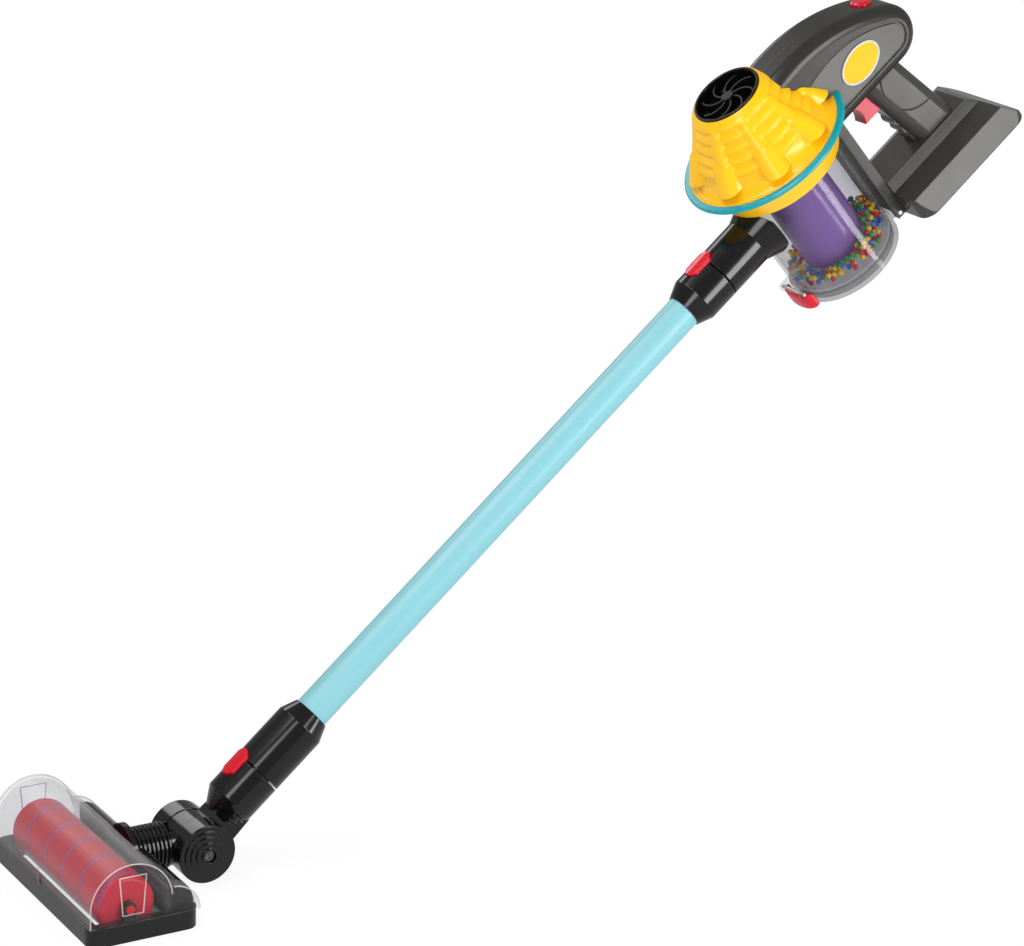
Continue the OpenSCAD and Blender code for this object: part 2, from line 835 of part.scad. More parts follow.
// A wheel of the body's width, with round edges, about an axis along Y
module round_wheel(at, r) {
  translate([at[0], 0, at[1]]) rotate([90, 0, 0]) rotate_extrude($fn = 128) {
    translate([0, -body_w / 2 + body_round]) square([r, body_w - 2 * body_round]);
    translate([0, -body_w / 2]) square([r - body_round, body_w]);
    for (side = [-1, 1]) intersection() {
      translate([r - body_round, side * (body_w / 2 - body_round)]) circle(body_round);
      translate([0, -far]) square(2 * far);
    }
  }
}

// Bar with round lower edges along the body's underside
module belly() {
  translate([0, 0, body_under]) rotate([90, 0, 90]) linear_extrude(far) {
    translate([-body_w / 2 + body_round, 0]) square([body_w - 2 * body_round, far]);
    translate([-body_w / 2, body_round]) square([body_w, far]);
    for (side = [-1, 1]) translate([side * (body_w / 2 - body_round), body_round]) circle(body_round);
  }
}

// Hump that runs into a round rear end
module body_form() {
  out = far * (nose_at - crown_at) / norm(nose_at - crown_at);
  intersection() {
    plate_y(-body_w / 2, body_w / 2)
      polygon([[body_front, brim_z + slip], [body_step, brim_z + slip], [body_step, body_under],
               [nose_at[0], body_under], nose_at, nose_at + out, [body_front, far]]);
    round_wheel(crown_at, crown_r);
    belly();
  }
  round_wheel(nose_at, nose_r - 0.1);
}

// Leaf that frames the badge on each side, open to the front and round at the rear
module panel(inset) {
  toward = [cos(panel_lean), sin(panel_lean)];
  low = nose_at[1] - panel_nose + inset;
  translate(nose_at) circle(panel_nose - inset - 0.02);
  intersection() {
    translate(nose_at - (panel_arc - panel_nose) * toward) circle(panel_arc - inset, $fn = 160);
    polygon([[panel_front, low], [nose_at[0], low], nose_at, nose_at + far * toward, [panel_front, far]]);
  }
}

module oval(l, w) {
  polygon([for (i = [0 : 47]) [l / 2 * cos(i * 7.5), w / 2 * sin(i * 7.5)]]);
}

// Left half of the body, or the right half when mirrored
module body_half() {
  groove = 1;
  difference() {
    intersection() {
      body_form();
      block(-far, far, -far, 0, -far, far);
    }
    plate_y(-body_w / 2 - 1, -body_w / 2 + groove) difference() {
      panel(0);
      panel(1.6);
    }
    plate_y(-body_w / 2 - 1, -body_w / 2 + groove) translate([badge_x, badge_z]) rotate(badge_turn) oval(badge_l, badge_w);
    // Room for the board, the speaker and the power switch
    block(board_x - 1, board_x + board_len + 1, -9, 1, body_under + 6, body_under + 15);
    at_power() translate([0, 0, power_seat]) cylinder(r = power_r + button_play, h = far);
  }
}

module body_left_shell() {
  color(charcoal) in_unit() body_half();
}

module body_right_shell() {
  color(charcoal) in_unit() difference() {
    mirror([0, 1, 0]) body_half();
    for (p = screw_places) rod_y(p, body_w / 2 - 3.3, far, 2.9);
  }
}

screw_places = [[body_step + screw_in, body_under + screw_in], [body_rear - screw_back, body_under + screw_in],
  [body_step + 2 * screw_in, rim_z - screw_down]];

module shell_screws() {
  color(steel) in_unit() for (p = screw_places)
    translate([p[0], body_w / 2 - 1.6, p[1]]) rotate([-90, 0, 0]) cross_screw(2.6, 1.7, 1.2, 0);
}

module badge(side) {
  y0 = side * (body_w / 2 - 1);
  color(yellow) in_unit() plate_y(min(y0, y0 + side * 1.6), max(y0, y0 + side * 1.6))
    translate([badge_x, badge_z]) rotate(badge_turn) oval(badge_l - 0.3, badge_w - 0.3);
}

module badge_left() badge(-1);

module badge_right() badge(1);

module grip_form() {
  round_r = grip_w * 0.3;
  len = body_under - grip_foot;
  ridge_r = 6;
  intersection() {
    translate([grip_x, 0, body_under]) rotate([0, -grip_lean, 0]) {
      translate([0, 0, -len * 1.5]) linear_extrude(len * 2) round_rect(grip_d, grip_w, round_r);
      for (i = [1 : finger_ridges]) {
        rod_y([-grip_d / 2 + 4.2, -len * (0.42 + 0.16 * i)], -grip_w / 2 + 7, grip_w / 2 - 7, ridge_r);
      }
    }
    block(-far, far, -far, far, grip_foot, body_under);
  }
}

module trigger_room() {
  block(trigger_tip - 20, trigger_tip + trigger_len + trigger_travel + 1, -trigger_w / 2 - button_play,
        trigger_w / 2 + button_play, trigger_z - trigger_h / 2 - button_play,
        trigger_z + trigger_h / 2 + button_play);
}

module grip_half() {
  switch_x = trigger_tip + trigger_len + trigger_travel + 1;
  difference() {
    intersection() {
      grip_form();
      block(-far, far, -far, 0, -far, far);
    }
    trigger_room();
    // Curved panel line on the side
    plate_y(-grip_w / 2 - 1, -grip_w / 2 + 0.6) translate([grip_x + grip_d * 0.55, body_under - 14])
      difference() {
        circle(grip_panel_r);
        circle(grip_panel_r - 0.9);
      }
    block(switch_x - cut, switch_x + 6, -5, 1, trigger_z - 5, trigger_z + 5);
  }
}

module grip_left() {
  color(charcoal) in_unit() grip_half();
}

module grip_right() {
  color(charcoal) in_unit() mirror([0, 1, 0]) grip_half();
}

module trigger() {
  z0 = trigger_z - trigger_h / 2;
  color(pink) in_unit() difference() {
    block(trigger_tip, trigger_tip + trigger_len, -trigger_w / 2, trigger_w / 2, z0, z0 + trigger_h);
    rod_y([trigger_tip - 9, trigger_z - 2], -far, far, 12);
  }
}

module trigger_switch() {
  x0 = trigger_tip + trigger_len + trigger_travel + 1;
  color(black) in_unit() block(x0, x0 + 6, -5, 5, trigger_z - 5, trigger_z + 5);
}

// On the hump, square to its surface, with the surface at z = crown_r
module at_power() {
  translate([crown_at[0], 0, crown_at[1]]) rotate([0, power_lean, 0]) children();
}

module power_button() {
  top = crown_r + 2.4;
  color(red) in_unit() at_power() rotate_extrude()
    polygon([[0, crown_r - power_h], [power_r, crown_r - power_h], [power_r, top - 1.4], [power_r - 1.4, top],
             [0, top]]);
}

module power_switch() {
  color(black) in_unit() at_power() translate([0, 0, power_seat]) cylinder(r = 4, h = 10);
}

module circuit_board() {
  color([0.1, 0.4, 0.2]) in_unit()
    block(board_x, board_x + board_len, -8, 8, body_under + 6, body_under + 7.6);
}

module speaker() {
  color(black) in_unit() translate([board_x + board_len / 2, 0, body_under + 7.6]) difference() {
    cylinder(r = 7.8, h = 5);
    translate([0, 0, 3.5]) cylinder(r1 = 3, r2 = 6.5, h = 2);
  }
}

module bin_spine() {
  color(charcoal) in_unit() difference() {
    union() {
      block(spine_x, base_x, -spine_w / 2, spine_w / 2, lid_h + slip, body_under);
      for (side = [0, 1]) mirror([0, side, 0])
        block(spine_x + 0.6, base_x, spine_w / 2 - 4.7, spine_w / 2, 0.2, lid_h + slip + cut);
    }
    rod_y(lid_hinge, -far, far, lid_pin_r + 0.02);
  }
}

// Slab with leaning sides and a sloping shoulder up to the rail that carries the grip
module battery_base() {
  half = base_w / 2;
  shoulder = base_h - 3.5;
  rail = rail_w / 2;
  door_h = 2.2;
  rear = base_x + base_len;
  profile = [[half, 0], [half - base_slope, shoulder], [rail, base_h], [rail - 1, base_h + rail_h]];
  outline = concat(profile, [for (i = [3 : -1 : 0]) [-profile[i][0], profile[i][1]]]);
  color(charcoal) in_unit() difference() {
    intersection() {
      translate([base_x + base_len / 2, 0, base_z]) linear_extrude(far) round_rect(base_len, base_w, 11);
      translate([base_x, 0, base_z]) rotate([90, 0, 90]) linear_extrude(base_len) polygon(outline);
      plate_y(-base_w, base_w) polygon([[base_x, base_z], [rear, base_z], [rear, base_z + 2],
        [rear - end_run, base_top], [rear - end_run - 8, grip_foot], [base_x, grip_foot]]);
    }
    translate([door_x, -door_w / 2, base_z - 1]) cube([door_len, door_w, door_h + 1]);
    translate([door_x + 4, -door_w / 2 + 3, base_z]) cube([door_len - 8, door_w - 6, 2 * cell_r + 3]);
  }
}

module battery_door() {
  play = 0.2;
  color(charcoal) in_unit() difference() {
    block(door_x + play, door_x + door_len - play, -door_w / 2 + play, door_w / 2 - play, base_z, base_z + 2.2);
    translate([door_x + door_len - 5, 0, base_z - 1]) cylinder(r = 2.8, h = 2.2);
  }
}

module door_screw() {
  color(steel) in_unit() translate([door_x + door_len - 5, 0, base_z]) mirror([0, 0, 1])
    translate([0, 0, -0.2]) cross_screw(2.6, 1, 1, 0);
}

module battery_cells() {
  z = base_z + 2.2 + cell_r;
  x0 = door_x + door_len / 2 - cell_len / 2;
  color(steel) in_unit() for (i = [0 : cell_count - 1])
    translate([0, (i - (cell_count - 1) / 2) * cell_pitch, z]) {
      rod_x(x0, x0 + cell_len - 1, cell_r);
      rod_x(x0 + cell_len - 1 - cut, x0 + cell_len, 2.7);
    }
}

module battery_contacts() {
  x0 = door_x + 4;
  z0 = base_z + 3.2;
  tall = 11;
  color(steel) in_unit() {
    block(x0, x0 + 0.6, -contact_half, contact_half, z0, z0 + tall);
    block(x0 + door_len - 8.6, x0 + door_len - 8, -contact_half, contact_half, z0, z0 + tall);
  }
}

body_left_shell();
body_right_shell();
badge_left();
badge_right();
shell_screws();
grip_left();
grip_right();
trigger();
trigger_switch();
power_button();
power_switch();
circuit_board();
speaker();
bin_spine();
battery_base();
battery_door();
battery_cells();
battery_contacts();
door_screw();
cone_collar();
brim_ring();
cyclone_cone();
fan_cup();
fan();
fan_shaft();
motor();
dust_bin();
bin_core();
core_ring();
bead_floor();
beads_red();
beads_yellow();
beads_green();
beads_blue();
bin_lid();
lid_hinge_pin();
bin_latch();
latch_pin();
inlet_pipe();
wand_tube();
wand_top_collar();
wand_button();
wand_low_collar();
neck_socket();
neck_button();
pivot_yoke();
pivot_pin();
pivot_caps();
pivot_screws();
ribbed_neck();
head_base();
head_cover();
head_deck();
roller();
roller_axles();
head_screws();
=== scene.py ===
"""Toy stick vacuum cleaner: materials, detail pieces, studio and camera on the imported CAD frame."""

import math
import random

import bpy
from mathutils import Matrix, Vector


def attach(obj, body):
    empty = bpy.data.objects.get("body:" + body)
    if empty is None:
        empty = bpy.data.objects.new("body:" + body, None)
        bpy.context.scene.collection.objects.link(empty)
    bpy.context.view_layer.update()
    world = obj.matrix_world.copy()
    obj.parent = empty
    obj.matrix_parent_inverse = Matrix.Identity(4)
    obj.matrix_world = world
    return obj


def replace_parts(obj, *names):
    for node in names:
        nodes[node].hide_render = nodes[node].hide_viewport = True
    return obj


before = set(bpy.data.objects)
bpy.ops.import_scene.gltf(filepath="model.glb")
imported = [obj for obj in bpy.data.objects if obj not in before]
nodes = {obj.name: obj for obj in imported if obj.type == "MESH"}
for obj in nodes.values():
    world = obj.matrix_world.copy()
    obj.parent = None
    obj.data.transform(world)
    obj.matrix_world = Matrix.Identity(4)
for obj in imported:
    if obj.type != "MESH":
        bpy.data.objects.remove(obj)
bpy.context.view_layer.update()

# Sizes of pieces are in millimetres, as in the CAD; the studio is in metres
MM = 0.001


# Frames of the wand and the hand unit

TILT = math.radians(41)
PIVOT = Vector((69, 0, 21))
ALONG = Vector((math.cos(TILT), 0, math.sin(TILT)))
ACROSS = Vector((-math.sin(TILT), 0, math.cos(TILT)))
UNIT_REACH = 599.9
INLET_Z = 70


def wand_point(x, y, z):
    """Row frame, in metres, of a point whose x runs up the wand from the pivot."""
    return (PIVOT + x * ALONG + z * ACROSS + Vector((0, y, 0))) * MM


def unit_point(x, y, z):
    """Row frame, in metres, of a point of the hand unit, whose z runs up the bin."""
    return wand_point(x + UNIT_REACH, y, z - INLET_Z)


# Materials: the node graph and what the finishes share

SHEEN_SCALE = 45
SHEEN_LOW = 0.8
SHEEN_HIGH = 1.25
EDGE_SAMPLES = 6


def srgb(red, green, blue):
    """Linear colour of an 8-bit sRGB value."""

    def linear(value):
        value /= 255
        return value / 12.92 if value <= 0.04045 else ((value + 0.055) / 1.055) ** 2.4

    return (linear(red), linear(green), linear(blue), 1)


class Graph:
    """A material's node tree, built node by node."""

    def __init__(self, name):
        self.material = bpy.data.materials.new(name)
        self.material.use_nodes = True
        self.tree = self.material.node_tree
        self.tree.nodes.clear()

    def node(self, kind, inputs=None, **settings):
        new = self.tree.nodes.new(kind)
        for key, value in settings.items():
            setattr(new, key, value)
        for key, value in (inputs or {}).items():
            if isinstance(value, bpy.types.NodeSocket):
                self.tree.links.new(value, new.inputs[key])
            else:
                new.inputs[key].default_value = value
        return new

    def place(self):
        return self.node("ShaderNodeTexCoord").outputs["Object"]

    def maths(self, operation, *values):
        return self.node("ShaderNodeMath", dict(enumerate(values)), operation=operation).outputs[0]

    def vectors(self, operation, a, b):
        return self.node("ShaderNodeVectorMath", {0: a, 1: b}, operation=operation).outputs

    def ramp(self, value, start, end, low, high):
        """A value that goes from low to high while another goes from start to end."""
        inputs = {"Value": value, "From Min": start, "From Max": end, "To Min": low, "To Max": high}
        return self.node("ShaderNodeMapRange", inputs).outputs[0]

    def blend(self, share, a, b):
        """A colour between a and b."""
        mix = self.node("ShaderNodeMix", {"Factor": share, "A": a, "B": b}, data_type="RGBA")
        return mix.outputs["Result"]

    def principled(self, colour, roughness, normal, shine=0.5, metallic=0.0):
        inputs = {"Base Color": colour, "Roughness": roughness, "Normal": normal}
        inputs["Specular IOR Level"] = shine
        inputs["Metallic"] = metallic
        return self.node("ShaderNodeBsdfPrincipled", inputs)

    def mixed(self, share, first, second):
        return self.node("ShaderNodeMixShader", {0: share, 1: first.outputs[0], 2: second.outputs[0]})

    def output(self, shader):
        self.node("ShaderNodeOutputMaterial", {"Surface": shader.outputs[0]})
        return self.material


def sheen(graph, rough):
    """Roughness that varies a little over the object."""
    noise = graph.node("ShaderNodeTexNoise", {"Vector": graph.place(), "Scale": SHEEN_SCALE, "Detail": 3})
    return graph.ramp(noise.outputs["Fac"], 0, 1, rough * SHEEN_LOW, rough * SHEEN_HIGH)


def soft_edges(graph, edge):
    """Normals that round every edge, or plain ones where the edge is 0."""
    if edge:
        return graph.node("ShaderNodeBevel", {"Radius": edge * MM}, samples=EDGE_SAMPLES).outputs[0]
    return graph.node("ShaderNodeNewGeometry").outputs["Normal"]


# Solid plastic and metal

METAL_EDGE = 0.2


def plastic(name, colour, rough=0.2, edge=0.6, shine=0.5):
    graph = Graph(name)
    return graph.output(graph.principled(colour, sheen(graph, rough), soft_edges(graph, edge), shine))


def metal(name, colour, rough):
    graph = Graph(name)
    shader = graph.principled(colour, sheen(graph, rough), soft_edges(graph, METAL_EDGE), metallic=1.0)
    return graph.output(shader)


# Clear plastic

CLEAR_ROUGH = 0.05
CLEAR_EDGE = 0.5
CLEAR_STEEPNESS = 3
CLEAR_GLOSS = (0.9, 0.9, 0.9, 1)
MILKY_SHINE = 0.8


def clear_plastic(name, tint, haze, rim, grey=None):
    """Thin clear plastic: see-through face on, and glossy, or milky with a grey, where it turns away."""
    graph = Graph(name)
    normal = soft_edges(graph, CLEAR_EDGE)
    facing = graph.node("ShaderNodeLayerWeight", {"Blend": 0.5, "Normal": normal}).outputs["Facing"]
    share = graph.maths("MULTIPLY_ADD", graph.maths("POWER", facing, CLEAR_STEEPNESS), rim, haze)
    if grey:
        film = graph.principled(srgb(grey, grey, grey), sheen(graph, CLEAR_ROUGH), normal, MILKY_SHINE)
    else:
        inputs = {"Color": CLEAR_GLOSS, "Roughness": CLEAR_ROUGH, "Normal": normal}
        film = graph.node("ShaderNodeBsdfGlossy", inputs)
    through = graph.node("ShaderNodeBsdfTransparent", {"Color": tint})
    return graph.output(graph.mixed(share, through, film))


# Foam sleeve of the roller, with thin lines that wind round it

ROLLER_X = -9
ROLLER_Z = 20.5
LINE_PITCH = 28
LINE_SHARE = 0.07
LINED_HALF = 68
FOAM_ROUGH = 0.32
FOAM_EDGE = 0.6
FOAM_SCALE = 1400
FOAM_DEPTH = 0.4
FOAM_STRENGTH = 0.25


def foam_grain(graph):
    noise = graph.node("ShaderNodeTexNoise", {"Vector": graph.place(), "Scale": FOAM_SCALE, "Detail": 2})
    inputs = {"Height": noise.outputs["Fac"], "Strength": FOAM_STRENGTH, "Distance": FOAM_DEPTH * MM}
    inputs["Normal"] = soft_edges(graph, FOAM_EDGE)
    return graph.node("ShaderNodeBump", inputs).outputs[0]


def roller_foam(name, foam, lines):
    graph = Graph(name)
    axes = graph.node("ShaderNodeSeparateXYZ", {"Vector": graph.place()}).outputs
    dx = graph.maths("SUBTRACT", axes["X"], ROLLER_X * MM)
    dz = graph.maths("SUBTRACT", axes["Z"], ROLLER_Z * MM)
    turns = graph.maths("MULTIPLY", graph.maths("ARCTAN2", dz, dx), 0.5 / math.pi)
    wind = graph.maths("MULTIPLY_ADD", axes["Y"], 1 / (LINE_PITCH * MM), turns)
    line = graph.maths("LESS_THAN", graph.maths("FRACT", wind), LINE_SHARE)
    inside = graph.maths("LESS_THAN", graph.maths("ABSOLUTE", axes["Y"]), LINED_HALF * MM)
    colour = graph.blend(graph.maths("MULTIPLY", line, inside), foam, lines)
    return graph.output(graph.principled(colour, sheen(graph, FOAM_ROUGH), foam_grain(graph)))


# Body: dark, with a paler leaf on each side: painted reflection on the side panel, fading towards the
# rear

LEAF_NOSE = Vector((112, 0, 111.5)) * MM
LEAF_NOSE_R = 11.3
LEAF_ARC = Vector((66.3, 0, 48.6)) * MM
LEAF_ARC_R = 89
LEAF_LOW = 100.2
LEAF_SLANT = math.radians(54)
# The leaf's painted reflection fades from full strength to a share of it between these places along the
# body
REFLECTION_FADE_START = 50
REFLECTION_FADE_END = 120
REFLECTION_FADE_LEFT = 0.35
BODY_ROUGH = 0.24
BODY_EDGE = 0.9
BODY_SHINE = 0.36


def reflection_share(graph):
    """How much of the leaf's painted reflection shows: a round nose, and an arc cut by a slant and a low
    line, fading rearwards.
    """
    local = graph.vectors("SUBTRACT", graph.place(), unit_point(0, 0, 0))["Vector"]
    x = graph.vectors("DOT_PRODUCT", local, ALONG)["Value"]
    z = graph.vectors("DOT_PRODUCT", local, ACROSS)["Value"]
    side = graph.node("ShaderNodeCombineXYZ", {"X": x, "Z": z}).outputs[0]
    nose = graph.maths("LESS_THAN", graph.vectors("DISTANCE", side, LEAF_NOSE)["Value"], LEAF_NOSE_R * MM)
    arc = graph.maths("LESS_THAN", graph.vectors("DISTANCE", side, LEAF_ARC)["Value"], LEAF_ARC_R * MM)
    from_nose = graph.vectors("SUBTRACT", side, LEAF_NOSE)["Vector"]
    back_and_down = (math.sin(LEAF_SLANT), 0, -math.cos(LEAF_SLANT))
    slant = graph.vectors("DOT_PRODUCT", from_nose, back_and_down)["Value"]
    leaf_reflection = graph.maths("MULTIPLY", arc, graph.maths("LESS_THAN", slant, 0))
    leaf_reflection = graph.maths("MULTIPLY", leaf_reflection, graph.maths("GREATER_THAN", z, LEAF_LOW * MM))
    leaf_reflection = graph.maths("MAXIMUM", leaf_reflection, nose)
    return graph.maths("MULTIPLY", leaf_reflection, graph.ramp(x, REFLECTION_FADE_START * MM, REFLECTION_FADE_END * MM, 1, REFLECTION_FADE_LEFT))


# Dark body colour, with the leaf's paler painted reflection blended in
def body_with_reflection(name, dark, leaf_reflection):
    graph = Graph(name)
    colour = graph.blend(reflection_share(graph), dark, leaf_reflection)
    shader = graph.principled(colour, sheen(graph, BODY_ROUGH), soft_edges(graph, BODY_EDGE), BODY_SHINE)
    return graph.output(shader)


# Finishes, and the CAD nodes that wear them

yellow = plastic("yellow_gloss", srgb(255, 196, 8), rough=0.24, edge=1.4)
yellow_skin = plastic("yellow_skin", srgb(255, 196, 8), rough=0.24, edge=0)
badge_yellow = plastic("badge_yellow", srgb(250, 186, 4), rough=0.35, edge=0.4, shine=0.2)
teal = plastic("teal_gloss", srgb(0, 158, 172))
purple = plastic("purple_gloss", srgb(150, 114, 188), rough=0.16)
cyan = plastic("wand_cyan", srgb(134, 196, 206), rough=0.31, edge=0, shine=0.42)
black = plastic("black_gloss", srgb(12, 12, 13), rough=0.14)
satin = plastic("fan_satin", srgb(16, 16, 17), rough=0.35, edge=0.3, shine=0.25)
charcoal = plastic("charcoal_gloss", srgb(64, 63, 60), rough=0.23, edge=0.9, shine=0.34)
# Body: its own dark colour, and a paler colour painted as reflection on the side leaves
body_charcoal_and_reflection = body_with_reflection("body_charcoal_and_reflection", srgb(46, 45, 42), srgb(99, 98, 95))
red = plastic("red_gloss", srgb(216, 10, 38), rough=0.18)
pink = plastic("trigger_pink", srgb(208, 54, 74), rough=0.25)
crimson = roller_foam("roller_crimson", srgb(212, 24, 52), srgb(140, 84, 150))
floor_clear = clear_plastic("clear_plastic", (0.88, 0.88, 0.89, 1), haze=0.013, rim=0.4)
cover_clear = clear_plastic("cover_clear", (0.91, 0.91, 0.92, 1), haze=0.02, rim=0.42, grey=215)
bin_clear = clear_plastic("bin_clear", (0.84, 0.84, 0.855, 1), haze=0.018, rim=0.45)
lid_clear = clear_plastic("lid_clear", (0.8, 0.8, 0.81, 1), haze=0.2, rim=0.6, grey=122)
# Milky pale film of the cover's edge tubes, which are painted highlights
edge_highlight = clear_plastic("edge_highlight", (0.9, 0.9, 0.91, 1), haze=0.45, rim=0.5, grey=245)
pale = plastic("pale_plastic", srgb(205, 208, 212), rough=0.25)
bead_green = plastic("bead_green", srgb(64, 186, 84), rough=0.25)
bead_blue = plastic("bead_blue", srgb(56, 124, 214), rough=0.25)
bead_red = plastic("bead_red", srgb(228, 40, 58), rough=0.25)
bead_yellow = plastic("bead_yellow", srgb(255, 214, 40), rough=0.25)
board = plastic("board_green", srgb(25, 100, 55), rough=0.4)
steel = metal("steel", (0.62, 0.62, 0.64, 1), rough=0.28)
dark_steel = metal("dark_steel", (0.16, 0.16, 0.17, 1), rough=0.3)

WEARERS = {
    yellow: ["cone_collar", "cyclone_cone"],
    badge_yellow: ["badge_left", "badge_right"],
    teal: ["brim_ring"],
    purple: ["bin_core"],
    cyan: ["wand_tube"],
    black: [
        "inlet_pipe",
        "wand_top_collar",
        "wand_low_collar",
        "neck_socket",
        "pivot_yoke",
        "pivot_caps",
        "ribbed_neck",
        "head_base",
        "head_deck",
        "fan_cup",
        "trigger_switch",
        "power_switch",
        "speaker",
    ],
    satin: ["fan"],
    body_charcoal_and_reflection: ["body_left_shell", "body_right_shell"],
    charcoal: ["grip_left", "grip_right", "bin_spine", "battery_base", "battery_door"],
    red: ["power_button", "bin_latch", "wand_button", "neck_button", "roller_axles"],
    pink: ["trigger"],
    crimson: ["roller"],
    floor_clear: ["bead_floor"],
    cover_clear: ["head_cover"],
    bin_clear: ["dust_bin"],
    lid_clear: ["bin_lid"],
    pale: ["core_ring"],
    board: ["circuit_board"],
    bead_red: ["beads_red"],
    bead_yellow: ["beads_yellow"],
    bead_green: ["beads_green"],
    bead_blue: ["beads_blue"],
    steel: [
        "shell_screws",
        "door_screw",
        "head_screws",
        "battery_cells",
        "battery_contacts",
        "lid_hinge_pin",
        "latch_pin",
        "pivot_pin",
        "fan_shaft",
        "motor",
    ],
    dark_steel: ["pivot_screws"],
}


def wear(mesh, finish):
    mesh.materials.clear()
    mesh.materials.append(finish)


for finish, names in WEARERS.items():
    for name in names:
        wear(nodes[name].data, finish)


# Helpers for new pieces


def new_piece(name, mesh, body, finish):
    """A mesh in the row frame that rides on a CAD body."""
    piece = bpy.data.objects.new(name, mesh)
    bpy.context.collection.objects.link(piece)
    wear(mesh, finish)
    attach(piece, body)
    return piece


def mesh_from(name, points, faces):
    """A smooth mesh."""
    mesh = bpy.data.meshes.new(name)
    mesh.from_pydata(points, [], faces)
    mesh.polygons.foreach_set("use_smooth", [True] * len(mesh.polygons))
    mesh.update()
    return mesh


def grid_faces(rows, columns, joined=False):
    """Quads between rings of points, and from the last ring to the first where they are joined."""
    faces = []
    for i in range(rows if joined else rows - 1):
        near = i * columns
        far = (i + 1) % rows * columns
        for j in range(columns):
            k = (j + 1) % columns
            faces.append((near + j, near + k, far + k, far + j))
    return faces


def full_turn(count):
    return [2 * math.pi * i / count for i in range(count)]


def unit_turned(r, a, h):
    """Row frame of a point at a radius, a turn and a height about the bin's axis."""
    return unit_point(r * math.cos(a), r * math.sin(a), h)


# Cyclone cone: one moulded skin, with the cyclones running softly into the stepped wall

BRIM_Z = 112
CONE_H = 52
CONE_TURNS = 640
CONE_ROWS = 104
SKIRT_H = 17
FOOT_R = 57
FOOT_WALL = 10
FLARE = 11
FLARE_H = 13
WALL_FOOT = 45
WALL_TOP = 25.8
STEPS = 5
STEP_DEPTH = 1.5
STEP_RISE = 0.25
STEP_FALL = 0.55
CYCLONES = 8
AXIS_FOOT = 46
AXIS_Z = 10
BELL_END = 1.6
BELL_R = 10.2
BELL_TOP_R = 8.2
BELL_H = 20
SHOULDER = 1.2
SHOULDER_BELOW = 0.4
TUBE_R = 6.6
TUBE_TOP_R = 4.6
TUBE_H = 24
TUBE_END = 3
CYCLONE_BLEND = 1.8
ROOM_X = 26.2
ROOM_Y = 21.3
LEAN = math.atan2(WALL_FOOT - WALL_TOP, CONE_H - SKIRT_H)

# Lip of the fan's mouth: steps inwards and down from the cone's top edge
LIP = [(0.1, 0.1), (0.6, 0), (1, 0.3), (1, 4)]


def soft_max(a, b, soft):
    near = max(soft - abs(a - b), 0) / soft
    return max(a, b) + near * near * soft / 4


def soft_step(x):
    x = min(max(x, 0), 1)
    return x * x * (3 - 2 * x)


def wall_radius(z):
    """Radius of the wall at a height: flared skirt, then a cone in steps."""
    if z < SKIRT_H:
        drop = min((SKIRT_H - z) / FLARE_H, 1)
        return FOOT_R - FLARE * math.sqrt(1 - drop * drop)
    climb = (z - SKIRT_H) / (CONE_H - SKIRT_H)
    part = climb * STEPS % 1
    rib = soft_step(part / STEP_RISE) * (1 - soft_step((part - 1 + STEP_FALL) / STEP_FALL))
    return WALL_FOOT + (WALL_TOP - WALL_FOOT) * climb + STEP_DEPTH * rib


def cyclone_radius(along):
    """Radius of a cyclone at a place along its axis: bell, shoulder, tube, round ends."""
    if along < 0:
        return BELL_R * math.sqrt(max(1 - (along / BELL_END) ** 2, 0))
    bell = BELL_R + (BELL_TOP_R - BELL_R) * along / BELL_H
    tube = TUBE_R + (TUBE_TOP_R - TUBE_R) * (along - BELL_H) / TUBE_H
    size = bell + (tube - bell) * soft_step((along - BELL_H + SHOULDER_BELOW) / SHOULDER)
    over = max(along - BELL_H - TUBE_H + TUBE_END, 0) / TUBE_END
    return size * math.sqrt(max(1 - over * over, 0))


def cone_radius(turn, z):
    """Radius of the skin: the wall, the cyclone at this turn, and the flat where the body stands."""
    best = wall_radius(z)
    along = (z - AXIS_Z) / math.cos(LEAN)
    size = cyclone_radius(along)
    axis = AXIS_FOOT - along * math.sin(LEAN)
    step = 2 * math.pi / CYCLONES
    off = (turn % step) - step / 2
    if abs(axis * math.sin(off)) < size:
        out = axis * math.cos(off) + math.sqrt(size**2 - (axis * math.sin(off)) ** 2)
        best = soft_max(best, out, CYCLONE_BLEND)
    c, s = math.cos(turn), abs(math.sin(turn))
    if c > 0 and best * c > ROOM_X and best * s < ROOM_Y:
        best = ROOM_X / c
    return best


def moulded_cone():
    turns = full_turn(CONE_TURNS)
    heights = [CONE_H * i / CONE_ROWS for i in range(CONE_ROWS)]
    points = [unit_turned(FOOT_R - FOOT_WALL, a, BRIM_Z) for a in turns]
    points += [unit_turned(cone_radius(a, z), a, BRIM_Z + z) for z in heights for a in turns]
    top = BRIM_Z + CONE_H
    points += [unit_turned(WALL_TOP - inwards, a, top - down) for inwards, down in LIP for a in turns]
    mesh = mesh_from("moulded_cone", points, grid_faces(len(points) // CONE_TURNS, CONE_TURNS))
    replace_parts(new_piece("moulded_cone", mesh, "hand_unit", yellow_skin), "cyclone_cone")


moulded_cone()


# Thin teal ring of the brim, open where the body stands

RING_R = 62
RING_Z = 112.6
RING_H = 3.4
RING_INSIDE = FOOT_R - 1
RING_TURNS = 256
RING_BENDS = 10


